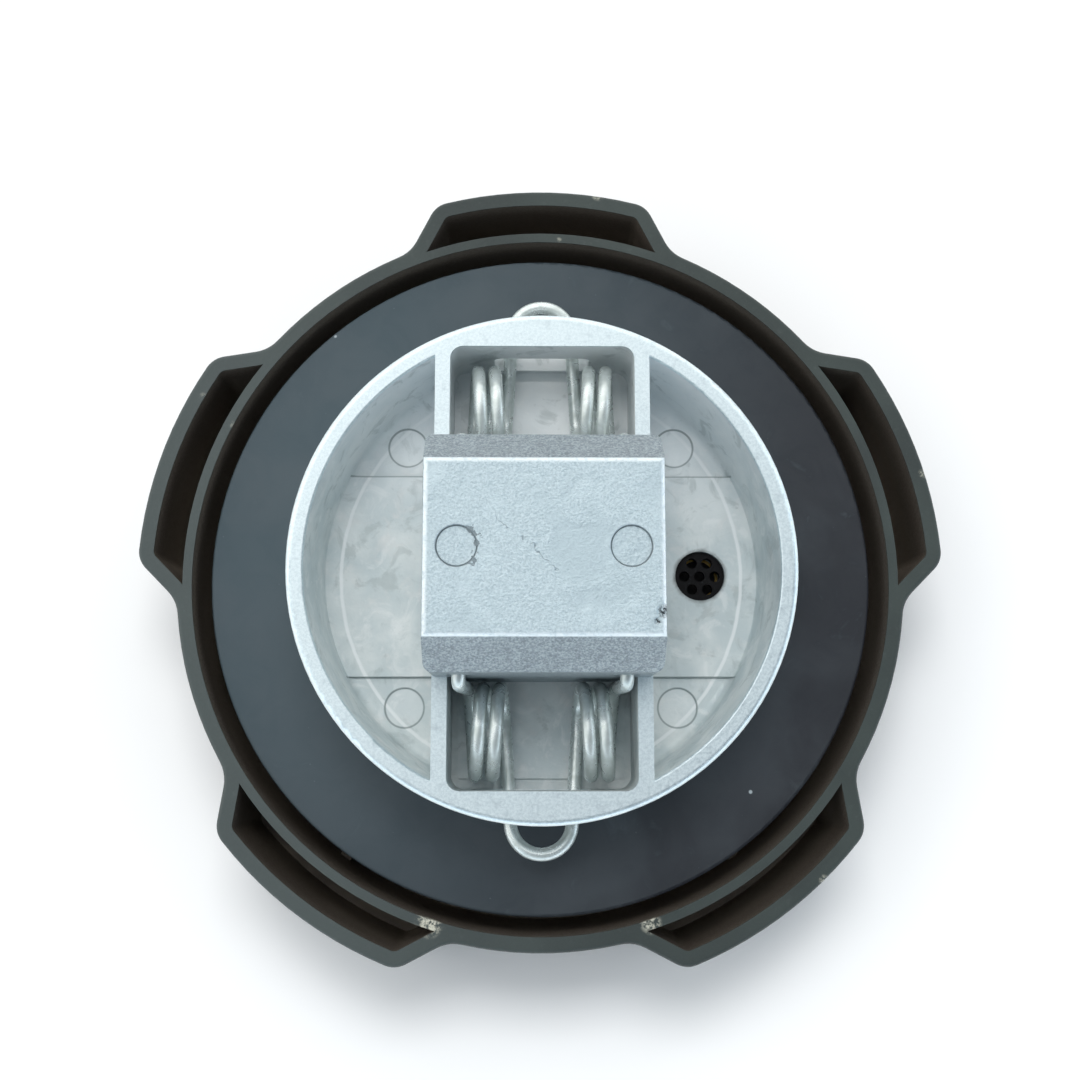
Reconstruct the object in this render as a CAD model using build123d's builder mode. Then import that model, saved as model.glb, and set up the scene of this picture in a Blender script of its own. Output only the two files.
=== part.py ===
from build123d import *

import os
from math import atan2, cos, degrees, pi, radians, sin

# Vented bayonet fuel filler cap for an 80 mm filler neck.
#
# The cap lies on its outer face with the bayonet side up.  The origin is on the axis of the cap,
# in the plane of the outer face, and +Z points into the filler neck.  The well that holds the two
# latch springs runs along Y.  Sizes are in millimetres, angles in degrees.

# ---------------------------------------------------------------- driving dimensions

# Outer cover, moulded with five grip lobes
skirt_height = 32.0
cover_plate = 3.0
grip_wall = 2.5
grip_draft = 0.6
lobe_count = 5
lobe_start = 90.0
lobe_rise = 6.5
lobe_corner_angle = 15.75
lobe_foot_angle = 21.9
lobe_corner_fillet = 4.0
lobe_foot_fillet = 6.0
outer_edge_fillet = 3.0
skirt_edge_fillet = 0.6
ridge_wall = 1.5
gasket_groove = 2.8
boss_radius = 4.5
boss_from_ring = 7.5
boss_web = 2.0
boss_web_height = 6.0

# Neck gasket
gasket_setback = 2.0
gasket_thickness = 3.0
gasket_overhang = 0.9
gasket_bore_clearance = 0.15
gasket_edge_fillet = 0.5

# Bayonet body, die-cast
ring_radius = 39.0
ring_height = 20.0
ring_wall_at_rim = 2.7
ring_wall_at_floor = 3.9
rim_rounding = 0.9
rim_inner_rounding = 0.3
ring_root_fillet = 1.4
flange_width = 14.0
flange_thickness = 3.0
floor_rise = 5.0
floor_thickness = 3.0
recess_margin = 5.0
well_width = 28.6
well_corner = 2.0
well_end_wall = 5.1
rail_wall = 2.3
pad_step = 0.6
pad_margin = 1.1
pad_end_margin = 1.6
band_width = 32.7
window_side_clearance = 0.9
window_rise = 1.9
window_height = 8.1
window_corner = 1.5
mark_radius = 3.15
mark_depth = 0.2
mark_spacing_x = 43.8
mark_spacing_y = 42.4

# Latch springs, double torsion springs of round wire
wire_radius = 1.05
coil_radius = 6.65
coil_turn_gap = 0.5
coil_turns = 2.25
coil_spans = 9
coil_side_gap = 1.7
coil_end_gap = 1.1
coil_bridge_gap = 0.3
coil_rise = 8.9
loop_projection = 4.8
loop_rise = 7.5
hook_rise = 4.5
hook_bend_radius = 1.6
hook_tip = 3.6
hook_clearance = 0.45

# Spring bridge, the block across the well
head_side_height = 13.7
slope_rise = 6.8
slope_run = 4.9
bridge_overhang = 0.4
bridge_edge_fillet = 0.8
bridge_corner_fillet = 1.2
stem_clearance = 0.2
bridge_wall = 3.4
bridge_roof = 3.0
bridge_mark_radius = 2.9
bridge_mark_spacing = 24.4
screw_from_bridge_end = 7.8
post_radius = 4.5
post_height = 17.0
post_cap = 2.0

# Screws
cover_screw_radius = 2.0
cover_screw_length = 16.0
cover_screw_head_radius = 3.9
bridge_screw_radius = 2.5
bridge_screw_length = 14.0
bridge_screw_point = 0.625
bridge_screw_head_radius = 4.6
bridge_screw_head_height = 3.2
bridge_screw_head_fillet = 1.0
screw_hole_clearance = 0.2
thread_clearance = 0.05
drive_socket = 3.0
drive_depth = 1.8

# Vent valve under the floor
valve_from_rail = 9.2
vent_hole_radius = 4.0
vent_ledge_radius = 3.3
strainer_thickness = 1.5
strainer_recess = 0.8
strainer_hole_radius = 0.85
strainer_hole_circle = 2.45
collar_wall = 2.0
collar_depth = 7.5
valve_radius = 6.5
valve_wall = 1.2
valve_length = 16.2
valve_seat_thickness = 1.4
valve_port_radius = 3.6
seal_ring_thickness = 0.8
seal_ring_inner_radius = 4.4
plate_radius = 4.95
plate_thickness = 1.2
plate_hole_radius = 1.7
plate_collar_inner = 2.85
plate_collar_outer = 3.35
plate_collar_height = 0.8
disc_radius = 3.0
disc_thickness = 0.8
stem_radius = 0.8
stem_length = 5.6
stem_point = 0.2
clip_radius = 2.6
clip_thickness = 0.6
clip_from_stem_end = 0.3
pressure_spring_radius = 4.0
pressure_wire_radius = 0.35
pressure_spring_turns = 5.0
vacuum_spring_radius = 2.15
vacuum_wire_radius = 0.22
vacuum_spring_turns = 4.0
cap_flange_thickness = 0.8
cap_plug_thickness = 1.2
cap_skirt_height = 2.5
cap_skirt_wall = 0.9
cap_vent_radius = 0.8
cap_vent_circle = 2.9
filter_thickness = 1.8

fit_gap = 0.05
spring_seat_gap = 0.03
pick_tolerance = 0.01

# ---------------------------------------------------------------- sizes worked out from these

# Heights above the outer face
gasket_top = skirt_height - gasket_setback
flange_top = gasket_top - gasket_thickness
flange_bottom = flange_top - flange_thickness
floor_top = flange_top + floor_rise
floor_bottom = floor_top - floor_thickness
pad_top = floor_top + pad_step
rim_height = gasket_top + ring_height
shoulder_height = rim_height + head_side_height
bridge_top = shoulder_height + slope_rise

# Radii of the ring, flange, gasket and cover
ring_bore_at_rim = ring_radius - ring_wall_at_rim
ring_bore_at_floor = ring_radius - ring_wall_at_floor
recess_radius = ring_radius - recess_margin
flange_radius = ring_radius + flange_width
gasket_radius = flange_radius + gasket_overhang
skirt_bore_radius = gasket_radius + gasket_groove
pocket_inner_radius = skirt_bore_radius + ridge_wall
valley_radius = skirt_bore_radius + grip_wall
lobe_radius = valley_radius + lobe_rise
boss_circle_radius = ring_radius + boss_from_ring

# The well, the coils that fill its ends and the bridge between them
well_length = 2 * (ring_radius - well_end_wall)
rail_outer_x = well_width / 2 + rail_wall
coil_pitch = 2 * wire_radius + coil_turn_gap
coil_height = coil_pitch * (coil_turns + loop_rise / 360)
coil_outer_x = well_width / 2 - coil_side_gap - wire_radius
coil_inner_x = coil_outer_x - coil_height
coil_outside_radius = coil_radius + wire_radius
coil_centre_y = well_length / 2 - coil_end_gap - coil_outside_radius
coil_centre_z = floor_top + coil_rise
coil_lead = atan2(coil_pitch, 2 * pi * coil_radius)
bridge_length = 2 * (coil_centre_y - coil_outside_radius - coil_bridge_gap)
bridge_top_length = bridge_length - 2 * slope_run
bridge_screw_spacing = bridge_length - 2 * screw_from_bridge_end
hook_height = rim_height + hook_rise
hook_x = coil_outer_x + (hook_height - coil_centre_z) * sin(coil_lead)
window_width = 2 * (coil_inner_x + wire_radius + window_side_clearance)
window_middle = floor_top + window_rise + window_height / 2

# The vent valve hangs under the floor
valve_x = rail_outer_x + valve_from_rail
strainer_top = pad_top - strainer_recess
strainer_ledge = strainer_top - strainer_thickness
collar_bore = valve_radius + fit_gap
collar_radius = collar_bore + collar_wall
collar_bottom = floor_bottom - collar_depth
valve_bore = valve_radius - valve_wall
valve_top = floor_bottom - seal_ring_thickness
valve_bottom = valve_top - valve_length
seat_face = valve_top - valve_seat_thickness
plate_bottom = seat_face - plate_thickness
stem_bottom = seat_face - stem_length
clip_top = stem_bottom + clip_from_stem_end + clip_thickness
cap_plug_top = valve_bottom + cap_plug_thickness
cap_flange_bottom = valve_bottom - cap_flange_thickness

os.makedirs("parts", exist_ok=True)


def save(piece, name):
    """Label a finished piece and write its STEP file."""
    piece.part.label = name
    export_step(piece.part, f"parts/{name}.step")


# ---------------------------------------------------------------- outer cover

lobe_top_point = Vector(0, lobe_radius).rotate(Axis.Z, -lobe_corner_angle)
lobe_foot_point = Vector(0, valley_radius).rotate(Axis.Z, -lobe_foot_angle)

# One lobe: an arc on the lobe radius and two straight flanks down to the valley radius
with BuildSketch() as lobe:
    with BuildLine():
        ThreePointArc(
            (-lobe_top_point.X, lobe_top_point.Y),
            (0, lobe_radius),
            (lobe_top_point.X, lobe_top_point.Y),
        )
        Polyline(
            (lobe_top_point.X, lobe_top_point.Y),
            (lobe_foot_point.X, lobe_foot_point.Y),
            (0, 0),
            (-lobe_foot_point.X, lobe_foot_point.Y),
            (-lobe_top_point.X, lobe_top_point.Y),
        )
    make_face()

with BuildSketch(Plane.XY.offset(skirt_height)) as grip_outline:
    Circle(valley_radius)
    with PolarLocations(0, lobe_count, start_angle=lobe_start - 90):
        add(lobe.sketch)
    middle_radius = (lobe_radius + valley_radius) / 2
    corners = grip_outline.vertices()
    fillet(corners.filter_by(lambda v: Vector(v.X, v.Y).length > middle_radius), lobe_corner_fillet)
    feet = grip_outline.vertices()
    fillet(
        feet.filter_by(lambda v: abs(Vector(v.X, v.Y).length - valley_radius) < pick_tolerance),
        lobe_foot_fillet,
    )

# The hollow of each lobe follows the outline inside the grip wall and stops at the ridge
with BuildSketch(Plane.XY.offset(skirt_height)) as grip_pockets:
    add(grip_outline.sketch)
    offset(amount=-grip_wall, mode=Mode.REPLACE)
    Circle(pocket_inner_radius, mode=Mode.SUBTRACT)

with BuildPart() as outer_cover:
    add(grip_outline.sketch)
    extrude(amount=-skirt_height, taper=grip_draft)
    fillet(outer_cover.edges().group_by(Axis.Z)[0], outer_edge_fillet)
    fillet(outer_cover.edges().group_by(Axis.Z)[-1], skirt_edge_fillet)
    add(grip_pockets.sketch)
    extrude(amount=cover_plate - skirt_height, mode=Mode.SUBTRACT)
    with BuildSketch(Plane.XY.offset(cover_plate)):
        Circle(skirt_bore_radius)
    extrude(amount=skirt_height, mode=Mode.SUBTRACT)
    # Screw bosses, each tied to the skirt by a web
    with BuildSketch(Plane.XY.offset(cover_plate)):
        with PolarLocations(boss_circle_radius, lobe_count, start_angle=lobe_start):
            Circle(boss_radius)
    extrude(amount=flange_bottom - cover_plate)
    with BuildSketch(Plane.XY.offset(cover_plate)):
        with PolarLocations(boss_circle_radius, lobe_count, start_angle=lobe_start):
            Rectangle(
                skirt_bore_radius + ridge_wall / 2 - boss_circle_radius,
                boss_web,
                align=(Align.MIN, Align.CENTER),
            )
    extrude(amount=boss_web_height)
    with Locations(Plane.XY.offset(flange_bottom)):
        with PolarLocations(boss_circle_radius, lobe_count, start_angle=lobe_start):
            Hole(cover_screw_radius + thread_clearance, depth=cover_screw_length)
save(outer_cover, "outer_cover")

# ---------------------------------------------------------------- bayonet body

with BuildPart() as bayonet_body:
    # Ring, floor and gasket flange in one turned section
    with BuildSketch(Plane.XZ):
        with BuildLine():
            rim_start = (ring_radius, rim_height - rim_rounding)
            Polyline(
                (0, floor_top),
                (0, floor_bottom),
                (recess_radius, floor_bottom),
                (recess_radius, flange_bottom),
                (flange_radius, flange_bottom),
                (flange_radius, flange_top),
                (ring_radius, flange_top),
                rim_start,
            )
            RadiusArc(rim_start, (ring_radius - rim_rounding, rim_height), -rim_rounding)
            FilletPolyline(
                (ring_radius - rim_rounding, rim_height),
                (ring_bore_at_rim, rim_height),
                (ring_bore_at_floor, floor_top),
                (0, floor_top),
                radius=(rim_inner_rounding, ring_root_fillet),
            )
        make_face()
    revolve(axis=Axis.Z)
    # Rails and end walls of the well, out to the middle of the ring wall
    with BuildSketch(Plane.XY.offset(floor_top)):
        Rectangle(2 * rail_outer_x, 2 * ring_radius)
        Circle((ring_radius + ring_bore_at_rim) / 2, mode=Mode.INTERSECT)
    extrude(amount=rim_height - floor_top)
    with BuildSketch(Plane.XY.offset(floor_top)):
        RectangleRounded(well_width, well_length, well_corner)
    extrude(amount=rim_height, mode=Mode.SUBTRACT)
    # Raised pad along the well and raised band across the floor
    with BuildSketch(Plane.XY.offset(floor_top)):
        Rectangle(well_width - 2 * pad_margin, well_length - 2 * pad_end_margin)
        Rectangle(2 * ring_radius, band_width)
        Circle((ring_radius + ring_bore_at_floor) / 2, mode=Mode.INTERSECT)
    extrude(amount=pad_step)
    # Windows that let the loops out through both ends of the well
    with BuildSketch(Plane.XZ):
        with Locations((0, window_middle)):
            RectangleRounded(window_width, window_height, window_corner)
    extrude(amount=flange_radius, both=True, mode=Mode.SUBTRACT)
    # Countersunk holes under the gasket
    with Locations(Plane.XY.offset(flange_top)):
        with PolarLocations(boss_circle_radius, lobe_count, start_angle=lobe_start):
            CounterSinkHole(
                cover_screw_radius + screw_hole_clearance,
                cover_screw_head_radius + screw_hole_clearance,
                depth=flange_top - flange_bottom,
            )
    # Holes for the bridge screws
    with Locations(Plane.XY.offset(pad_top)):
        with GridLocations(0, bridge_screw_spacing, 1, 2):
            Hole(bridge_screw_radius + screw_hole_clearance, depth=pad_top - floor_bottom)
    # Collar for the vent valve, and the stepped vent hole
    with BuildSketch(Plane.XY.offset(collar_bottom)):
        with Locations((valve_x, 0)):
            Circle(collar_radius)
    extrude(amount=floor_bottom - collar_bottom)
    with BuildSketch(Plane.XY.offset(collar_bottom)):
        with Locations((valve_x, 0)):
            Circle(collar_bore)
    extrude(amount=floor_bottom - collar_bottom, mode=Mode.SUBTRACT)
    with Locations((valve_x, 0, pad_top)):
        CounterBoreHole(
            vent_ledge_radius,
            vent_hole_radius,
            pad_top - strainer_ledge,
            depth=pad_top - floor_bottom,
        )
    # Ejector marks
    with Locations(Plane.XY.offset(floor_top)):
        with GridLocations(mark_spacing_x, mark_spacing_y, 2, 2):
            Hole(mark_radius, depth=mark_depth)
save(bayonet_body, "bayonet_body")

# ---------------------------------------------------------------- neck gasket

with BuildPart() as neck_gasket:
    with BuildSketch(Plane.XY.offset(flange_top)):
        Circle(gasket_radius)
        Circle(ring_radius + gasket_bore_clearance, mode=Mode.SUBTRACT)
    extrude(amount=gasket_top - flange_top)
    outer_edges = neck_gasket.edges().filter_by(
        lambda e: e.geom_type == GeomType.CIRCLE and e.radius > gasket_radius - pick_tolerance
    )
    fillet(outer_edges, gasket_edge_fillet)
save(neck_gasket, "neck_gasket")

# ---------------------------------------------------------------- spring bridge

stem_width = well_width - 2 * stem_clearance
cavity_width = stem_width - 2 * bridge_wall
cavity_length = bridge_length - 2 * bridge_wall
cavity_top = bridge_top - bridge_roof
cavity_top_length = bridge_top_length - bridge_wall

with BuildPart() as spring_bridge:
    # Head across the rails, with its two slopes
    with BuildSketch(Plane.YZ):
        with BuildLine():
            Polyline(
                (-bridge_length / 2, rim_height),
                (bridge_length / 2, rim_height),
                (bridge_length / 2, shoulder_height),
                (bridge_top_length / 2, bridge_top),
                (-bridge_top_length / 2, bridge_top),
                (-bridge_length / 2, shoulder_height),
                close=True,
            )
        make_face()
    extrude(amount=rail_outer_x + bridge_overhang, both=True)
    fillet(spring_bridge.edges().filter_by(Axis.Z), bridge_corner_fillet)
    fillet(spring_bridge.edges().group_by(Axis.Z)[-1], bridge_edge_fillet)
    # Stem down to the floor of the well
    with BuildSketch(Plane.XY.offset(pad_top)):
        RectangleRounded(stem_width, bridge_length, bridge_corner_fillet)
    extrude(amount=rim_height - pad_top)
    # Cored from below
    with BuildSketch(Plane.YZ):
        with BuildLine():
            Polyline(
                (-cavity_length / 2, pad_top),
                (cavity_length / 2, pad_top),
                (cavity_length / 2, shoulder_height - bridge_roof / 2),
                (cavity_top_length / 2, cavity_top),
                (-cavity_top_length / 2, cavity_top),
                (-cavity_length / 2, shoulder_height - bridge_roof / 2),
                close=True,
            )
        make_face()
    extrude(amount=cavity_width / 2, both=True, mode=Mode.SUBTRACT)
    # Posts for the two screws, joined to the end walls
    with BuildSketch(Plane.XY.offset(pad_top)):
        with GridLocations(0, bridge_screw_spacing, 1, 2):
            Circle(post_radius)
        with GridLocations(0, bridge_length - bridge_wall - post_radius, 1, 2):
            Rectangle(2 * post_radius, post_radius + bridge_wall / 2)
    extrude(amount=post_height)
    with Locations(Plane.XY.offset(pad_top).rotated((180, 0, 0))):
        with GridLocations(0, bridge_screw_spacing, 1, 2):
            Hole(bridge_screw_radius + thread_clearance, depth=post_height - post_cap)
    # Blind holes for the spring hooks
    for side in (1, -1):
        hook_face = Plane(
            origin=(0, side * bridge_length / 2, hook_height),
            x_dir=(1, 0, 0),
            z_dir=(0, side, 0),
        )
        with Locations(hook_face):
            with GridLocations(2 * hook_x, 0, 2, 1):
                CounterSinkHole(
                    wire_radius + hook_clearance,
                    wire_radius + 2 * hook_clearance,
                    depth=hook_tip + 2 * hook_clearance,
                )
    # Ejector marks on the top face
    with Locations(Plane.XY.offset(bridge_top)):
        with GridLocations(bridge_mark_spacing, 0, 2, 1):
            Hole(bridge_mark_radius, depth=mark_depth)
save(spring_bridge, "spring_bridge")

# ---------------------------------------------------------------- latch springs

rise = radians(loop_rise)
coil_start = Vector(
    coil_inner_x,
    coil_centre_y + coil_radius * sin(rise),
    coil_centre_z - coil_radius * cos(rise),
)
# Loop and inner leg lie in one plane that rises outwards; the leg leaves the coil on its tangent
leg_plane = Plane(
    origin=(0, coil_start.Y, coil_start.Z),
    x_dir=(1, 0, 0),
    z_dir=(0, -sin(rise), cos(rise)),
)
loop_reach = ring_radius + loop_projection
leg_reach = (loop_reach - coil_start.Y) / cos(rise)
loop_radius = (coil_inner_x * cos(coil_lead) - leg_reach * sin(coil_lead)) / (1 - sin(coil_lead))
leg_length = (coil_inner_x - loop_radius * cos(coil_lead)) / sin(coil_lead)
leg_end = (loop_radius * cos(coil_lead), leg_length * cos(coil_lead))

coil_plane = Plane(
    origin=(coil_inner_x, coil_centre_y, coil_centre_z),
    x_dir=(0, sin(rise), -cos(rise)),
    z_dir=(1, 0, 0),
)
coil_line = coil_plane * Edge.make_helix(coil_pitch, coil_height, coil_radius, lefthand=True)

# The outer leg rises beside the bridge and bends into its hook hole
outer_leg_plane = Plane(
    origin=(coil_outer_x, coil_centre_y - coil_radius, coil_centre_z),
    x_dir=(sin(coil_lead), 0, cos(coil_lead)),
    z_dir=(cos(coil_lead), 0, -sin(coil_lead)),
)
outer_leg_length = (hook_height - coil_centre_z) / cos(coil_lead) - hook_bend_radius

with BuildPart() as latch_spring_a:
    with BuildLine(leg_plane) as loop_line:
        JernArc(
            start=(0, leg_reach),
            tangent=(1, 0),
            radius=loop_radius,
            arc_size=-(90 - degrees(coil_lead)),
        )
        Line(leg_end, (coil_inner_x, 0))
    with BuildLine(outer_leg_plane) as hook_line:
        Line((0, 0), (outer_leg_length, 0))
        JernArc(
            start=(outer_leg_length, 0), tangent=(1, 0), radius=hook_bend_radius, arc_size=90
        )
        tip_x = outer_leg_length + hook_bend_radius
        Line((tip_x, hook_bend_radius), (tip_x, hook_bend_radius + hook_tip))
    with BuildLine() as wire_line:
        add(loop_line.line)
        for span in range(coil_spans):
            add(coil_line.trim(span / coil_spans, (span + 1) / coil_spans))
        add(hook_line.line)
    loop_height = coil_start.Z + leg_reach * sin(rise)
    with BuildSketch(Plane(origin=(0, loop_reach, loop_height), z_dir=(1, 0, 0))):
        Circle(wire_radius)
    sweep(path=wire_line.wires()[0])
    mirror(about=Plane.YZ)
save(latch_spring_a, "latch_spring_a")

with BuildPart() as latch_spring_b:
    add(latch_spring_a.part, rotation=(0, 0, 180))
save(latch_spring_b, "latch_spring_b")

# ---------------------------------------------------------------- cover screws

for number in range(lobe_count):
    angle = lobe_start + number * 360 / lobe_count
    with BuildPart() as cover_screw:
        with BuildSketch(Plane.XZ):
            with BuildLine():
                head_depth = cover_screw_head_radius - cover_screw_radius
                Polyline(
                    (0, flange_top),
                    (cover_screw_head_radius, flange_top),
                    (cover_screw_radius, flange_top - head_depth),
                    (cover_screw_radius, flange_top - cover_screw_length + cover_screw_radius),
                    (cover_screw_radius / 2, flange_top - cover_screw_length),
                    (0, flange_top - cover_screw_length),
                    close=True,
                )
            make_face()
        revolve(axis=Axis.Z)
        with BuildSketch(Plane.XY.offset(flange_top)):
            RegularPolygon(drive_socket / 2, 6, major_radius=False)
        extrude(amount=-drive_depth, mode=Mode.SUBTRACT)
    centre = Vector(boss_circle_radius, 0).rotate(Axis.Z, angle)
    with BuildPart() as placed_screw:
        add(cover_screw.part.moved(Location(centre)))
    save(placed_screw, f"cover_screw_{number + 1}")

# ---------------------------------------------------------------- bridge screws

for number, screw_y in enumerate((bridge_screw_spacing / 2, -bridge_screw_spacing / 2), start=1):
    head_bottom = floor_bottom - bridge_screw_head_height
    with BuildPart() as bridge_screw:
        with BuildSketch(Plane.XY.offset(head_bottom)):
            with Locations((0, screw_y)):
                Circle(bridge_screw_head_radius)
        extrude(amount=bridge_screw_head_height)
        fillet(bridge_screw.edges().group_by(Axis.Z)[0], bridge_screw_head_fillet)
        with BuildSketch(Plane.XY.offset(floor_bottom)):
            with Locations((0, screw_y)):
                Circle(bridge_screw_radius)
        extrude(amount=bridge_screw_length)
        chamfer(bridge_screw.edges().group_by(Axis.Z)[-1], bridge_screw_point)
        with BuildSketch(Plane.XY.offset(head_bottom)):
            with Locations((0, screw_y)):
                RegularPolygon(drive_socket / 2, 6, major_radius=False)
        extrude(amount=drive_depth, mode=Mode.SUBTRACT)
    save(bridge_screw, f"bridge_screw_{number}")

# ---------------------------------------------------------------- vent strainer

with BuildPart() as vent_strainer:
    with BuildSketch(Plane.XY.offset(strainer_ledge)):
        with Locations((valve_x, 0)):
            Circle(vent_hole_radius - fit_gap)
            Circle(strainer_hole_radius, mode=Mode.SUBTRACT)
            with PolarLocations(strainer_hole_circle, 6):
                Circle(strainer_hole_radius, mode=Mode.SUBTRACT)
    extrude(amount=strainer_thickness)
save(vent_strainer, "vent_strainer")

# ---------------------------------------------------------------- vent valve

valve_axis = Plane(origin=(valve_x, 0, 0))

with BuildPart() as valve_housing:
    # A tube with the valve seat across its top
    with BuildSketch(valve_axis.offset(valve_bottom)):
        Circle(valve_radius)
    extrude(amount=valve_top - valve_bottom)
    with BuildSketch(valve_axis.offset(valve_bottom)):
        Circle(valve_bore)
    extrude(amount=seat_face - valve_bottom, mode=Mode.SUBTRACT)
    with BuildSketch(valve_axis.offset(seat_face)):
        Circle(valve_port_radius)
    extrude(amount=valve_seat_thickness, mode=Mode.SUBTRACT)
save(valve_housing, "valve_housing")

with BuildPart() as valve_seal_ring:
    with BuildSketch(valve_axis.offset(valve_top)):
        Circle(valve_radius - fit_gap)
        Circle(seal_ring_inner_radius, mode=Mode.SUBTRACT)
    extrude(amount=floor_bottom - valve_top)
save(valve_seal_ring, "valve_seal_ring")

with BuildPart() as pressure_plate:
    with BuildSketch(valve_axis.offset(plate_bottom)):
        Circle(plate_radius)
    extrude(amount=plate_thickness)
    with BuildSketch(valve_axis.offset(plate_bottom)):
        Circle(plate_collar_outer)
        Circle(plate_collar_inner, mode=Mode.SUBTRACT)
    extrude(amount=-plate_collar_height)
    with BuildSketch(valve_axis.offset(plate_bottom)):
        Circle(plate_hole_radius)
    extrude(amount=plate_thickness, mode=Mode.SUBTRACT)
save(pressure_plate, "pressure_plate")

with BuildPart() as vacuum_disc:
    # Disc over the hole in the plate, and its stem down through the hole
    with BuildSketch(valve_axis.offset(seat_face)):
        Circle(disc_radius)
    extrude(amount=disc_thickness)
    with BuildSketch(valve_axis.offset(stem_bottom)):
        Circle(stem_radius)
    extrude(amount=stem_length)
    chamfer(vacuum_disc.edges().group_by(Axis.Z)[0], stem_point)
save(vacuum_disc, "vacuum_disc")

with BuildPart() as vacuum_clip:
    with BuildSketch(valve_axis.offset(clip_top - clip_thickness)):
        Circle(clip_radius)
        Circle(stem_radius, mode=Mode.SUBTRACT)
    extrude(amount=clip_thickness)
save(vacuum_clip, "vacuum_clip")

with BuildPart() as valve_cap:
    # Plug in the bottom of the housing, with a skirt below it that holds the filter
    with BuildSketch(valve_axis.offset(valve_bottom)):
        Circle(valve_bore - fit_gap)
    extrude(amount=cap_plug_thickness)
    with BuildSketch(valve_axis.offset(cap_flange_bottom)):
        Circle(valve_radius)
    extrude(amount=cap_flange_thickness)
    with BuildSketch(valve_axis.offset(cap_flange_bottom)):
        Circle(valve_radius)
        Circle(valve_radius - cap_skirt_wall, mode=Mode.SUBTRACT)
    extrude(amount=-cap_skirt_height)
    with BuildSketch(valve_axis.offset(cap_flange_bottom)):
        with PolarLocations(cap_vent_circle, 4):
            Circle(cap_vent_radius)
    extrude(amount=cap_flange_thickness + cap_plug_thickness, mode=Mode.SUBTRACT)
save(valve_cap, "valve_cap")

with BuildPart() as dust_filter:
    with BuildSketch(valve_axis.offset(cap_flange_bottom - filter_thickness)):
        Circle(valve_radius - cap_skirt_wall - fit_gap)
    extrude(amount=filter_thickness)
save(dust_filter, "dust_filter")

# ---------------------------------------------------------------- valve springs

for name, bottom, top, spring_radius, spring_wire, turns in (
    (
        "pressure_spring",
        cap_plug_top,
        plate_bottom,
        pressure_spring_radius,
        pressure_wire_radius,
        pressure_spring_turns,
    ),
    (
        "vacuum_spring",
        clip_top,
        plate_bottom,
        vacuum_spring_radius,
        vacuum_wire_radius,
        vacuum_spring_turns,
    ),
):
    wire_bottom = bottom + spring_wire + spring_seat_gap
    wire_rise = top - bottom - 2 * (spring_wire + spring_seat_gap)
    with BuildPart() as valve_spring:
        with BuildLine() as spring_line:
            Helix(wire_rise / turns, wire_rise, spring_radius, center=(valve_x, 0, wire_bottom))
        with BuildSketch(Plane(origin=spring_line.line @ 0, z_dir=spring_line.line % 0)):
            Circle(spring_wire)
        sweep(path=spring_line.wires()[0], is_frenet=True)
    save(valve_spring, name)
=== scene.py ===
import bpy
import math
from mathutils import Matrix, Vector


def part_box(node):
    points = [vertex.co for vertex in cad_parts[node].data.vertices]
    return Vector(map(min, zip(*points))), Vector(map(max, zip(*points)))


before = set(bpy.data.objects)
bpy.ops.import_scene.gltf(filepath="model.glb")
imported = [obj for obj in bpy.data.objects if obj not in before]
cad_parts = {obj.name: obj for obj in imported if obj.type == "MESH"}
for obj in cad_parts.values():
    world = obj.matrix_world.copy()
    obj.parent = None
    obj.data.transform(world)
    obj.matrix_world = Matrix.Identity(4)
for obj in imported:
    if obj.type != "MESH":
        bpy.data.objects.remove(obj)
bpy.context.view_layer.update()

# ---------------------------------------------------------------- outer cover
# The cover is injection moulded in black glass-filled nylon, with five hollow grip lobes and a
# thin ridge round its bore.  Its lands at the open end are scuffed grey by handling, with a
# painted sheen that makes them lighter towards -X, and its hollows are brown, painted paler than
# the skin for the light that reaches into them, the more so towards their floors.


class Reading:
    """One output of a shader node, so that sums on it read as plain arithmetic."""

    def __init__(self, finish, socket):
        self.finish = finish
        self.socket = socket

    def reckon(self, operation, first, second=0.0):
        return self.finish.node("ShaderNodeMath", {"operation": operation}, {0: first, 1: second})

    def __add__(self, other):
        return self.reckon("ADD", self, other)

    def __radd__(self, other):
        return self.reckon("ADD", other, self)

    def __sub__(self, other):
        return self.reckon("SUBTRACT", self, other)

    def __rsub__(self, other):
        return self.reckon("SUBTRACT", other, self)

    def __mul__(self, other):
        return self.reckon("MULTIPLY", self, other)

    def __rmul__(self, other):
        return self.reckon("MULTIPLY", other, self)

    def __truediv__(self, other):
        return self.reckon("DIVIDE", self, other)

    def __rtruediv__(self, other):
        return self.reckon("DIVIDE", other, self)

    def __pow__(self, other):
        return self.reckon("POWER", self, other)

    def __abs__(self):
        return self.reckon("ABSOLUTE", self)

    def most(self, other):
        return self.reckon("MAXIMUM", self, other)


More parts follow.
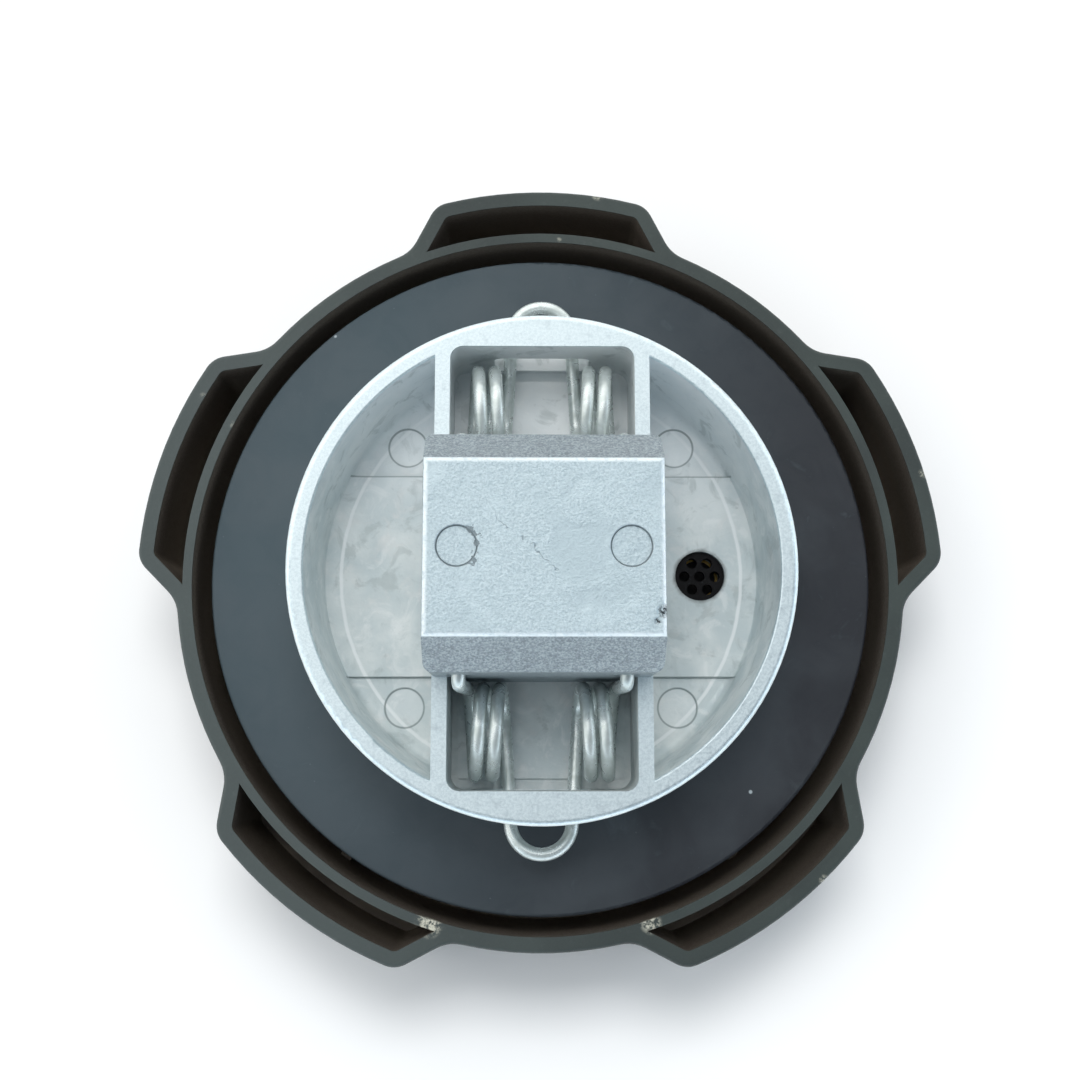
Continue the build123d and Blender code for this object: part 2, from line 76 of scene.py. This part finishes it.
class Finish:
    """A surface finish whose pattern sits on the piece's own coordinates, in metres."""

    kinds = bpy.data.materials
    coordinates = "Object"

    def __init__(self, name):
        self.holder = self.kinds.new(name)
        self.holder.use_nodes = True
        self.tree = self.holder.node_tree
        self.tree.nodes.clear()
        self.place = self.node("ShaderNodeTexCoord", output=self.coordinates)
        self.x = self.node("ShaderNodeSeparateXYZ", {}, {0: self.place}, "X")
        self.y = self.node("ShaderNodeSeparateXYZ", {}, {0: self.place}, "Y")
        self.z = self.node("ShaderNodeSeparateXYZ", {}, {0: self.place}, "Z")

    def node(self, kind, settings=None, inputs=None, output=0):
        made = self.tree.nodes.new(kind)
        for setting, value in (settings or {}).items():
            setattr(made, setting, value)
        for socket, value in (inputs or {}).items():
            if isinstance(value, Reading):
                self.tree.links.new(value.socket, made.inputs[socket])
            else:
                made.inputs[socket].default_value = value
        return Reading(self, made.outputs[output]) if len(made.outputs) else made

    def noise(self, size, detail=3.0, rough=0.5, warp=0.0, place=None):
        """Cloudy noise with lumps of about that size, 0 to 1."""
        return self.node(
            "ShaderNodeTexNoise",
            {},
            {
                "Vector": place or self.place,
                "Scale": 1.0 / size,
                "Detail": detail,
                "Roughness": rough,
                "Distortion": warp,
            },
        )

    def cells(self, size, output="Distance"):
        """Scattered points about that far apart: distance to the nearest, or its own colour."""
        inputs = {"Vector": self.place, "Scale": 1.0 / size}
        return self.node("ShaderNodeTexVoronoi", {}, inputs, output)

    def rise(self, value, low, high, start=0.0, end=1.0):
        """Goes smoothly from start to end as the value passes from low to high."""
        return self.node(
            "ShaderNodeMapRange",
            {"interpolation_type": "SMOOTHSTEP"},
            {"Value": value, "From Min": low, "From Max": high, "To Min": start, "To Max": end},
        )

    def fall(self, value, low, high, start=1.0):
        """Goes smoothly from start to nothing as the value passes from low to high."""
        return self.rise(value, low, high, start, 0.0)

    def away(self, point):
        """Distance from a point."""
        return self.node(
            "ShaderNodeVectorMath", {"operation": "DISTANCE"}, {0: self.place, 1: point}, "Value"
        )

    def from_axis(self, x=0.0):
        """Distance from an upright line at that x."""
        return ((self.x - x) ** 2 + self.y ** 2) ** 0.5

    def tint(self, share, first, second):
        """A mix of two colours."""
        inputs = {0: share, 6: first, 7: second}
        return self.node("ShaderNodeMix", {"data_type": "RGBA"}, inputs, 2)

    def relief(self, height, depth, strength=1.0, over=None):
        """Bumps of that depth in metres where the height goes from 0 to 1."""
        inputs = {"Height": height, "Distance": depth, "Strength": strength}
        if over:
            inputs["Normal"] = over
        return self.node("ShaderNodeBump", {}, inputs)

    def close(self, inputs, *pieces):
        """End in a shader with these inputs, and put the finish on the pieces."""
        shader = self.node("ShaderNodeBsdfPrincipled", {}, inputs)
        self.node("ShaderNodeOutputMaterial", {}, {"Surface": shader})
        for piece in pieces:
            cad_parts[piece].material_slots[0].material = self.holder


def shade(red, green, blue):
    """A colour written as a screen shows it, 0 to 255, as shader numbers."""
    levels = [value / 255 for value in (red, green, blue)]
    linear = [v / 12.92 if v <= 0.04045 else ((v + 0.055) / 1.055) ** 2.4 for v in levels]
    return (*linear, 1.0)


# Sizes of the moulding: the height of its lands, half the thickness of its plate and of its grip
# wall, a line within the ridge, and one lobe, with the corner where its outer arc meets the flank
land_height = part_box("outer_cover")[1].z
half_plate = 0.0015
ridge_line = (0.05785, 0.05800)
lobe_count = 5
lobe_corner_across = 0.01783
lobe_corner_along = 0.06323
flank_slope_across = 0.89
flank_slope_along = 0.456
half_wall = 0.00125
grip_radius = 0.0657
edge_blur = 0.0001

nylon = Finish("black_nylon")
radius = nylon.from_axis()
land = nylon.rise(nylon.z, land_height - 0.0008, land_height - edge_blur)
fibre = nylon.noise(0.0011, 4.0, 0.6)
cloud = nylon.noise(0.014, 3.0)
skin_colour = nylon.tint(nylon.rise(cloud, 0.35, 0.65), shade(30, 29, 27), shade(38, 36, 33))
land_colour = nylon.tint(nylon.rise(cloud, 0.3, 0.7), shade(48, 55, 54), shade(56, 64, 62))
# Where the hollows are: inside the ridge, and in the pocket of each lobe.  The angle is folded on
# to one lobe, whose pocket is bounded by the slanting flank and by the outer wall.
half_lobe = math.pi / lobe_count
turn = nylon.node("ShaderNodeMath", {"operation": "ARCTAN2"}, {0: nylon.y, 1: nylon.x})
turn = nylon.node(
    "ShaderNodeMath", {"operation": "WRAP"}, {0: turn - math.pi / 2, 1: half_lobe, 2: -half_lobe}
)
across = radius * abs(nylon.node("ShaderNodeMath", {"operation": "SINE"}, {0: turn}))
along = radius * nylon.node("ShaderNodeMath", {"operation": "COSINE"}, {0: turn})
past_corner = (across - lobe_corner_across) * flank_slope_across
past_flank = past_corner + (along - lobe_corner_along) * flank_slope_along
pocket_radius = grip_radius - half_wall
pocket = nylon.fall(past_flank, -half_wall - edge_blur, -half_wall + edge_blur)
pocket = pocket * nylon.fall(radius, pocket_radius - edge_blur, pocket_radius + edge_blur)
inside = nylon.fall(radius, *ridge_line).most(pocket)
inside = inside * nylon.rise(nylon.z, half_plate - edge_blur, half_plate + edge_blur)
inside = inside * nylon.fall(nylon.z, land_height - 0.0004, land_height - edge_blur)
# Painted light: the hollows are coloured paler than the skin, the more so towards their floors,
# standing for the light that reaches into them
hollow_colour = nylon.tint(
    nylon.fall(nylon.z, 0.010, 0.030), shade(86, 79, 72), shade(152, 142, 129)
)
hollow_colour = nylon.tint(nylon.rise(cloud, 0.35, 0.65, 0.0, 0.35), hollow_colour, shade(84, 76, 68))
# Painted sheen: the lands are lighter towards -X and a little towards -Y
land_sheen = nylon.fall(nylon.x + nylon.y * 0.2, -0.055, 0.010, 0.55)
land_colour = nylon.tint(land_sheen, land_colour, shade(76, 84, 84))
colour = nylon.tint(inside, nylon.tint(land, skin_colour, land_colour), hollow_colour)
colour = nylon.tint(nylon.rise(fibre, 0.55, 0.8, 0.0, 0.10), colour, shade(110, 116, 114))
# Two rubbed places and two nicks on the ridge, and four nicks on the lobe edges, pale where the
# skin is gone
scuff_grain = nylon.noise(0.0006, 5.0, 0.7)
for x, y, reach, depth in (
    (-0.0176, -0.0546, 0.0026, 0.95),
    (0.0172, -0.0546, 0.0020, 0.80),
    (-0.0560, 0.0299, 0.0008, 0.25),
    (-0.0510, 0.0251, 0.0008, 0.22),
    (0.0096, 0.0650, 0.0012, 0.55),
    (0.0631, 0.0171, 0.0010, 0.55),
    (0.0446, -0.0480, 0.0010, 0.60),
    (0.0030, 0.0570, 0.0007, 0.35),
):
    patch = nylon.fall(nylon.away((x, y, land_height)), reach * 0.35, reach)
    colour = nylon.tint(
        patch * nylon.rise(scuff_grain, 0.42, 0.60) * depth, colour, shade(196, 194, 178)
    )
skin = nylon.noise(0.00045, 3.0, 0.55)
nylon.close(
    {
        "Base Color": colour,
        "Roughness": nylon.rise(skin, 0.3, 0.7, 0.46, 0.62),
        "Specular IOR Level": 0.42,
        "Normal": nylon.relief(skin, 0.00004, 0.55),
    },
    "outer_cover",
)

# ---------------------------------------------------------------- bayonet body
# Ring, floor, well and gasket flange are one aluminium die-casting.  The floor keeps its cloudy
# as-cast skin, and the rim and the tops of the rails are faced bright in a lathe.

# Sizes of the casting: the height of its rim and a height just over its floor, the outer sides of
# the rails, the foot and the middle of the ring wall, and what shows on the floor
rim_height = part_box("bayonet_body")[1].z
over_floor = 0.0332
rail_side = 0.0166
ring_foot = 0.0354
ring_middle = 0.0373
band_half_width = 0.01635
highlight_arc_radius = 0.0324
mark_across, mark_along, mark_radius = 0.0219, 0.0212, 0.00315
vent_low, vent_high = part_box("vent_strainer")
vent_place = ((vent_low.x + vent_high.x) / 2, 0.0, 0.0326)

casting = Finish("diecast_alloy")
radius = casting.from_axis()
faced = casting.rise(casting.z, rim_height - 0.0007, rim_height - 0.0001)
cloud = casting.noise(0.0075, 4.0, 0.55, 0.3)
stain = casting.noise(0.0034, 4.0, 0.6, 0.5)
colour = casting.tint(casting.rise(cloud, 0.35, 0.68), shade(204, 214, 216), shade(224, 230, 230))
colour = casting.tint(casting.rise(stain, 0.52, 0.74, 0.0, 0.45), colour, shade(232, 232, 231))
colour = casting.tint(casting.rise(stain, 0.44, 0.28, 0.0, 0.35), colour, shade(180, 192, 193))
# Painted light: paler towards +Y, inside the ring only, lifting the shade that the north wall casts
# there
north_fill_light = casting.rise(casting.y, 0.004, 0.030, 0.0, 0.65)
north_fill_light = north_fill_light * casting.fall(radius, ring_middle - 0.0005, ring_middle + 0.0005)
colour = casting.tint(north_fill_light, colour, shade(246, 249, 251))
blotch = casting.noise(0.0052, 5.0, 0.62, 0.8)
colour = casting.tint(casting.rise(blotch, 0.54, 0.66, 0.0, 0.40), colour, shade(244, 246, 246))
colour = casting.tint(casting.rise(blotch, 0.46, 0.34, 0.0, 0.40), colour, shade(166, 176, 176))
# On the floor: painted shadow along the steps of the raised band, a painted highlight along the
# arc of a raised fillet, four ejector marks with painted shade round their rims and paler middles,
# and soot round the vent hole
east = abs(casting.x)
north = abs(casting.y)
on_floor = casting.fall(casting.z, over_floor - 0.0002, over_floor + 0.0002)
on_floor = on_floor * casting.rise(east, rail_side - 0.0001, rail_side + 0.0001)
on_floor = on_floor * casting.fall(radius, ring_foot - 0.0002, ring_foot + 0.0002)
from_mark = ((east - mark_across) ** 2 + (north - mark_along) ** 2) ** 0.5
waver = (casting.noise(0.0030, 3.0) - 0.5) * 0.0003
ring_line = casting.fall(abs(from_mark - mark_radius + waver * 0.4), 0.00006, 0.00022)
step_line = casting.fall(abs(north - band_half_width + waver * 0.4), 0.00006, 0.00024)
arc_line = casting.fall(abs(radius - highlight_arc_radius + waver), 0.00012, 0.00042) * on_floor
line = ring_line.most(step_line) * on_floor
middle = casting.fall(from_mark, mark_radius - 0.00035, mark_radius - 0.00005) * on_floor
colour = casting.tint(middle * 0.35, colour, shade(242, 246, 247))
# Painted highlight along the fillet arc
colour = casting.tint(arc_line * 0.75, colour, shade(246, 249, 250))
# Painted shade along the steps and round the rims of the ejector marks
colour = casting.tint(line * 0.62, colour, shade(112, 126, 128))
soot = casting.away(vent_place) + (stain - 0.5) * 0.0016
colour = casting.tint(casting.fall(soot, 0.0037, 0.0047, 0.75), colour, shade(60, 58, 58))
sparkle = casting.noise(0.00042, 3.0, 0.7)
sweep_marks = casting.noise(0.0016, 3.0, 0.6)
bright = casting.tint(casting.rise(sparkle, 0.38, 0.62), shade(216, 230, 235), shade(232, 244, 248))
bright = casting.tint(
    casting.rise(sweep_marks, 0.54, 0.74, 0.0, 0.40), bright, shade(184, 198, 205)
)
colour = casting.tint(faced, colour, bright)
grain = casting.noise(0.00055, 4.0, 0.6)
casting.close(
    {
        "Base Color": colour,
        "Metallic": casting.rise(faced, 0.0, 1.0, 0.40, 0.88),
        "Roughness": (1.0 - faced) * casting.rise(stain, 0.3, 0.7, 0.46, 0.60)
        + faced * casting.rise(sparkle, 0.3, 0.7, 0.34, 0.50),
        "Normal": casting.relief(grain, 0.00005, 0.5, casting.relief(cloud, 0.0002, 0.25)),
    },
    "bayonet_body",
)

# ---------------------------------------------------------------- neck gasket
# A flat ring stamped from slate-grey nitrile rubber sheet.  It is smooth and slightly dusty,
# with a few pale specks and faint smears where it has met the filler neck.

rubber = Finish("nitrile_rubber")
cloud = rubber.noise(0.020, 3.0, 0.5, 0.6)
smear = rubber.noise(0.006, 4.0, 0.6, 1.2)
# Painted sheen: slate grey towards -X and +Y, and nearly black towards +X and -Y
grey_reach = 0.044
side = rubber.rise(rubber.x * 0.85 - rubber.y * 0.30, -grey_reach, grey_reach)
colour = rubber.tint(side, shade(57, 71, 78), shade(31, 34, 40))
colour = rubber.tint(rubber.rise(cloud, 0.35, 0.65, 0.0, 0.25), colour, shade(74, 81, 86))
colour = rubber.tint(rubber.rise(smear, 0.60, 0.80, 0.0, 0.30), colour, shade(84, 94, 98))
speck_spacing = 0.0085
own_colour = rubber.cells(speck_spacing, "Color")
speck = rubber.fall(rubber.cells(speck_spacing), 0.022, 0.045)
chosen = rubber.rise(rubber.node("ShaderNodeSeparateColor", {}, {0: own_colour}), 0.62, 0.66)
colour = rubber.tint(speck * chosen * 0.8, colour, shade(170, 180, 184))
dust = rubber.fall(rubber.cells(0.0022), 0.03, 0.07)
colour = rubber.tint(dust * rubber.rise(smear, 0.5, 0.65) * 0.25, colour, shade(130, 140, 144))
skin = rubber.noise(0.0007, 3.0, 0.6)
rubber.close(
    {
        "Base Color": colour,
        "Roughness": rubber.rise(smear, 0.35, 0.7, 0.50, 0.64),
        "Specular IOR Level": 0.5,
        "Normal": rubber.relief(skin, 0.00003, 0.45, rubber.relief(cloud, 0.0003, 0.3)),
    },
    "neck_gasket",
)

# ---------------------------------------------------------------- spring bridge
# A second aluminium die-casting, left as it comes from the die: a sandy skin that sparkles, smooth
# where the metal chilled first, with flow lines, two ejector marks and a knocked edge.

# Sizes of the bridge: the height of its top face and half its width and length, and the two
# ejector pins, the patch that chilled first, the flow lines and the knocks
bridge_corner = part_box("spring_bridge")[1]
top_face = bridge_corner.z
top_half_width = bridge_corner.x
top_half_length = 0.0124
pin_place, pin_radius = 0.0122, 0.0029
chill_place = (0.0085, -0.0028, top_face)
flow_place = (-0.0018, -0.0005, top_face)
side_knock = (0.0165, -0.0090, top_face - 0.0003)
corner_knock = (0.0156, -0.0106, top_face)

bridge = Finish("as_cast_alloy")
on_top = bridge.rise(bridge.z, top_face - 0.0006, top_face - 0.0003)
sand = bridge.noise(0.00036, 4.0, 0.7)
pits = bridge.noise(0.0009, 4.0, 0.65, 0.4)
chill = bridge.noise(0.0080, 3.0, 0.5, 0.8)
patch = bridge.fall(bridge.away(chill_place), 0.0045, 0.0090)
smooth = bridge.rise(chill + patch * 0.22, 0.46, 0.78)
top_colour = bridge.tint(
    bridge.rise(sand, 0.36, 0.64), shade(184, 201, 208), shade(212, 226, 232)
)
top_colour = bridge.tint(smooth * 0.7, top_colour, shade(194, 211, 218))
top_colour = bridge.tint(
    bridge.rise(bridge.noise(0.0060, 3.0, 0.5, 1.0), 0.55, 0.72, 0.0, 0.5),
    top_colour,
    shade(212, 227, 233),
)
# Painted shade: the slopes are coloured darker than the top face, for the shade that falls on them
slope_colour = bridge.tint(bridge.rise(sand, 0.34, 0.66), shade(122, 132, 139), shade(178, 188, 192))
slope_colour = bridge.tint(
    bridge.rise(pits, 0.50, 0.68, 0.0, 0.55), slope_colour, shade(122, 130, 136)
)
slope_colour = bridge.tint(
    bridge.fall(bridge.z, 0.057, 0.063, 0.55), slope_colour, shade(154, 164, 169)
)
colour = bridge.tint(on_top, slope_colour, top_colour)
# Painted highlight along the edges of the top face
edge = (abs(bridge.x) / top_half_width).most(abs(bridge.y) / top_half_length)
top_edge_highlight = bridge.rise(edge, 0.945, 0.985) * on_top
colour = bridge.tint(top_edge_highlight * bridge.rise(pits, 0.30, 0.55, 0.35, 0.95), colour, shade(238, 245, 248))
# Painted shade round the rims of the ejector pin marks, the left one chipped on its inner side
ragged = bridge.noise(0.0013, 3.0, 0.6)
left_ring = abs(bridge.from_axis(-pin_place) - pin_radius)
right_ring = abs(bridge.from_axis(pin_place) - pin_radius)
chipped = bridge.rise(bridge.x, -0.0112, -0.0096) * bridge.rise(ragged, 0.42, 0.58) * 0.00080
outline = bridge.fall(left_ring - chipped, 0.00004, 0.00016)
outline = outline.most(bridge.fall(right_ring, 0.00004, 0.00014)) * on_top
colour = bridge.tint(outline * 0.65, colour, shade(88, 98, 104))
# Flow lines across the middle of the face
drift = bridge.y + 0.85 * bridge.x + (bridge.noise(0.0022, 3.0, 0.6) - 0.5) * 0.0050 + 0.0016
ripple = bridge.fall(abs(drift), 0.00003, 0.00022)
ripple = ripple * bridge.fall(bridge.away(flow_place), 0.0040, 0.0095)
ripple = ripple * bridge.rise(bridge.noise(0.0018, 2.0), 0.46, 0.56) * on_top
colour = bridge.tint(ripple * 0.7, colour, shade(122, 136, 144))
# Knocks on the right-hand edge
knock = bridge.fall(bridge.away(side_knock) + (ragged - 0.5) * 0.0016, 0.0004, 0.0011)
knock = knock.most(
    bridge.fall(bridge.away(corner_knock) + (ragged - 0.5) * 0.0012, 0.0002, 0.0006)
)
colour = bridge.tint(knock * bridge.rise(sand, 0.40, 0.56), colour, shade(52, 58, 62))
roughness = bridge.rise(sand, 0.3, 0.7, 0.40, 0.58)
skin = bridge.relief(sand * (1.0 - smooth * 0.6), 0.00018, 0.9)
skin = bridge.relief(pits * (1.0 - smooth * 0.6), 0.00030, 0.5, skin)
skin = bridge.relief(1.0 - outline - ripple * 0.6 - knock, 0.00016, 0.8, skin)
bridge.close(
    {"Base Color": colour, "Metallic": 0.85, "Roughness": roughness, "Normal": skin},
    "spring_bridge",
)

# ---------------------------------------------------------------- latch springs
# Each spring is one length of hard-drawn spring steel wire, 2.1 mm thick, coiled and bent cold
# and then zinc plated.  The plating is bright, with fine draw marks and small dull spots.

wire = Finish("zinc_plated_wire")
dull = wire.noise(0.0022, 4.0, 0.6, 0.5)
draw = wire.noise(0.0005, 3.0, 0.6)
colour = wire.tint(wire.rise(dull, 0.40, 0.68), shade(220, 228, 227), shade(200, 209, 206))
colour = wire.tint(wire.rise(draw, 0.62, 0.76, 0.0, 0.15), colour, shade(160, 168, 164))
wire.close(
    {
        "Base Color": colour,
        "Metallic": 0.60,
        "Roughness": wire.rise(dull, 0.35, 0.7, 0.26, 0.36),
        "Normal": wire.relief(draw, 0.00001, 0.2),
    },
    "latch_spring_a",
    "latch_spring_b",
)

# ---------------------------------------------------------------- screws
# The five cover screws and two bridge screws are cold headed in steel and zinc plated.  Their
# finish is duller than the wire, with a faint yellow passivation.

plated = Finish("plated_screw_steel")
bloom = plated.noise(0.0018, 4.0, 0.6)
colour = plated.tint(plated.rise(bloom, 0.35, 0.65), shade(178, 178, 164), shade(200, 202, 194))
plated.close(
    {
        "Base Color": colour,
        "Metallic": 1.0,
        "Roughness": plated.rise(bloom, 0.3, 0.7, 0.28, 0.42),
        "Normal": plated.relief(plated.noise(0.0004, 3.0), 0.00002, 0.5),
    },
    *[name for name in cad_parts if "screw" in name],
)

# ---------------------------------------------------------------- vent strainer
# A small black acetal disc with seven drilled holes, pressed into the vent hole so that
# splashed fuel stays out of the valve.  The valve's vacuum disc is of the same acetal.

acetal = Finish("black_acetal")
film = acetal.noise(0.0012, 3.0, 0.6)
colour = acetal.tint(acetal.rise(film, 0.4, 0.7), shade(6, 5, 7), shade(13, 11, 13))
acetal.close(
    {
        "Base Color": colour,
        "Roughness": acetal.rise(film, 0.3, 0.7, 0.38, 0.55),
        "Specular IOR Level": 0.2,
        "Normal": acetal.relief(acetal.noise(0.0003, 3.0), 0.00002, 0.5),
    },
    "vent_strainer",
    "vacuum_disc",
)

# ---------------------------------------------------------------- vent valve
# Under the floor sits a two-way valve in a natural acetal housing, with a nitrile seal ring,
# a brass plate and clip, two steel springs and a felt dust filter held by its cap.

milky = Finish("natural_acetal")
haze = milky.noise(0.0040, 3.0, 0.5)
colour = milky.tint(milky.rise(haze, 0.35, 0.65), shade(206, 202, 188), shade(222, 219, 208))
milky.close(
    {
        "Base Color": colour,
        "Roughness": milky.rise(haze, 0.3, 0.7, 0.40, 0.52),
        "Normal": milky.relief(milky.noise(0.0005, 3.0), 0.00002, 0.4),
    },
    "valve_housing",
    "valve_cap",
)

seal = Finish("seal_nitrile")
haze = seal.noise(0.0016, 3.0, 0.6)
colour = seal.tint(seal.rise(haze, 0.35, 0.65), shade(34, 35, 36), shade(48, 50, 51))
seal.close(
    {
        "Base Color": colour,
        "Roughness": seal.rise(haze, 0.3, 0.7, 0.55, 0.68),
        "Normal": seal.relief(seal.noise(0.0004, 3.0), 0.00002, 0.5),
    },
    "valve_seal_ring",
)

brass = Finish("turned_brass")
drawn_out = brass.node("ShaderNodeMapping", {}, {0: brass.place, "Scale": (1.0, 1.0, 4.0)})
turning = brass.noise(0.0006, 3.0, 0.6, 0.0, drawn_out)
colour = brass.tint(brass.rise(turning, 0.35, 0.65), shade(196, 164, 92), shade(214, 186, 118))
brass.close(
    {
        "Base Color": colour,
        "Metallic": 1.0,
        "Roughness": brass.rise(turning, 0.3, 0.7, 0.26, 0.40),
        "Normal": brass.relief(turning, 0.00002, 0.5),
    },
    "pressure_plate",
    "vacuum_clip",
)

fine_wire = Finish("valve_spring_steel")
draw = fine_wire.noise(0.0006, 3.0, 0.6)
colour = fine_wire.tint(fine_wire.rise(draw, 0.4, 0.7), shade(196, 200, 202), shade(168, 172, 174))
fine_wire.close(
    {
        "Base Color": colour,
        "Metallic": 1.0,
        "Roughness": fine_wire.rise(draw, 0.3, 0.7, 0.24, 0.36),
        "Normal": fine_wire.relief(draw, 0.00001, 0.5),
    },
    "pressure_spring",
    "vacuum_spring",
)

felt = Finish("filter_felt")
strands = felt.noise(0.0005, 5.0, 0.7, 2.0)
colour = felt.tint(felt.rise(strands, 0.35, 0.65), shade(118, 114, 104), shade(160, 156, 144))
felt.close(
    {
        "Base Color": colour,
        "Roughness": felt.rise(strands, 0.3, 0.7, 0.85, 0.95),
        "Normal": felt.relief(strands, 0.00015, 0.8),
    },
    "dust_filter",
)

# ---------------------------------------------------------------- floor, light and camera
# The cap lies on a plain white table in a soft white room, which is brighter low down and towards
# the left and the back.  One small window lamp hangs high behind it, and it is seen from almost
# straight above.

bpy.ops.object.select_all(action="DESELECT")
table_drop = 0.00005
bpy.ops.mesh.primitive_plane_add(size=4.0, location=(0.0, 0.0, -table_drop))
table_top = bpy.context.active_object
table_top.name = "table_top"
paper = Finish("white_table")
fleck = paper.noise(0.05, 3.0)
board = paper.node(
    "ShaderNodeBsdfDiffuse",
    {},
    {"Color": paper.tint(fleck, shade(250, 250, 250), shade(253, 253, 253)), "Roughness": 1.0},
)
paper.node("ShaderNodeOutputMaterial", {}, {"Surface": board})
table_top.data.materials.append(paper.holder)


class Room(Finish):
    """The light of the room, which goes by the direction that it comes from."""

    kinds = bpy.data.worlds
    coordinates = "Generated"


# The strength of the light at the horizon, overhead and at the least, the way towards which it
# grows, and its colour away from that way and towards it
horizon_level, overhead_level, least_level = 1.55, 0.64, 0.2
brighter_way = (-1.80, 2.60, 0.0)
cool_white = (0.86, 0.99, 1.10, 1.0)
warm_white = (1.0, 1.0, 0.985, 1.0)

room = Room("soft_room")
level = room.rise(room.z, 0.0, 1.0, horizon_level, overhead_level)
lean = room.node(
    "ShaderNodeVectorMath", {"operation": "DOT_PRODUCT"}, {0: room.place, 1: brighter_way}, "Value"
)
glow = (room.z.most(0.0) ** 3.0 * lean + level).most(least_level)
warmth = room.node("ShaderNodeMapRange", {}, {"Value": lean, "From Min": -0.9, "From Max": 0.9})
hue = room.tint(warmth, cool_white, warm_white)
air = room.node("ShaderNodeBackground", {}, {"Color": hue, "Strength": glow})
room.node("ShaderNodeOutputWorld", {}, {"Surface": air})
bpy.context.scene.world = room.holder

window = bpy.data.lights.new("window", "AREA")
window.shape = "RECTANGLE"
window.size = 0.34
window.size_y = 0.24
window.energy = 2.8
window_lamp = bpy.data.objects.new("window", window)
bpy.context.scene.collection.objects.link(window_lamp)
# No glare of the lamp on the faced metal
window_lamp.visible_glossy = False
window_lamp.location = (-0.02, 0.30, 0.85)
cap_middle = Vector((0.0, 0.0, 0.03))
facing = (cap_middle - window_lamp.location).to_track_quat("-Z", "Y")
window_lamp.rotation_euler = facing.to_euler()

camera = bpy.data.cameras.new("camera")
camera.sensor_width = 36.0
camera.lens = 52.75
camera.shift_y = -0.0648
camera.clip_start = 0.01
camera_object = bpy.data.objects.new("camera", camera)
bpy.context.scene.collection.objects.link(camera_object)
camera_object.location = (-0.0029, -0.02845, 0.28847)
camera_object.rotation_euler = (math.radians(10.17), math.radians(-0.61), 0.0)
bpy.context.scene.camera = camera_object

bpy.context.scene.view_settings.view_transform = "Standard"
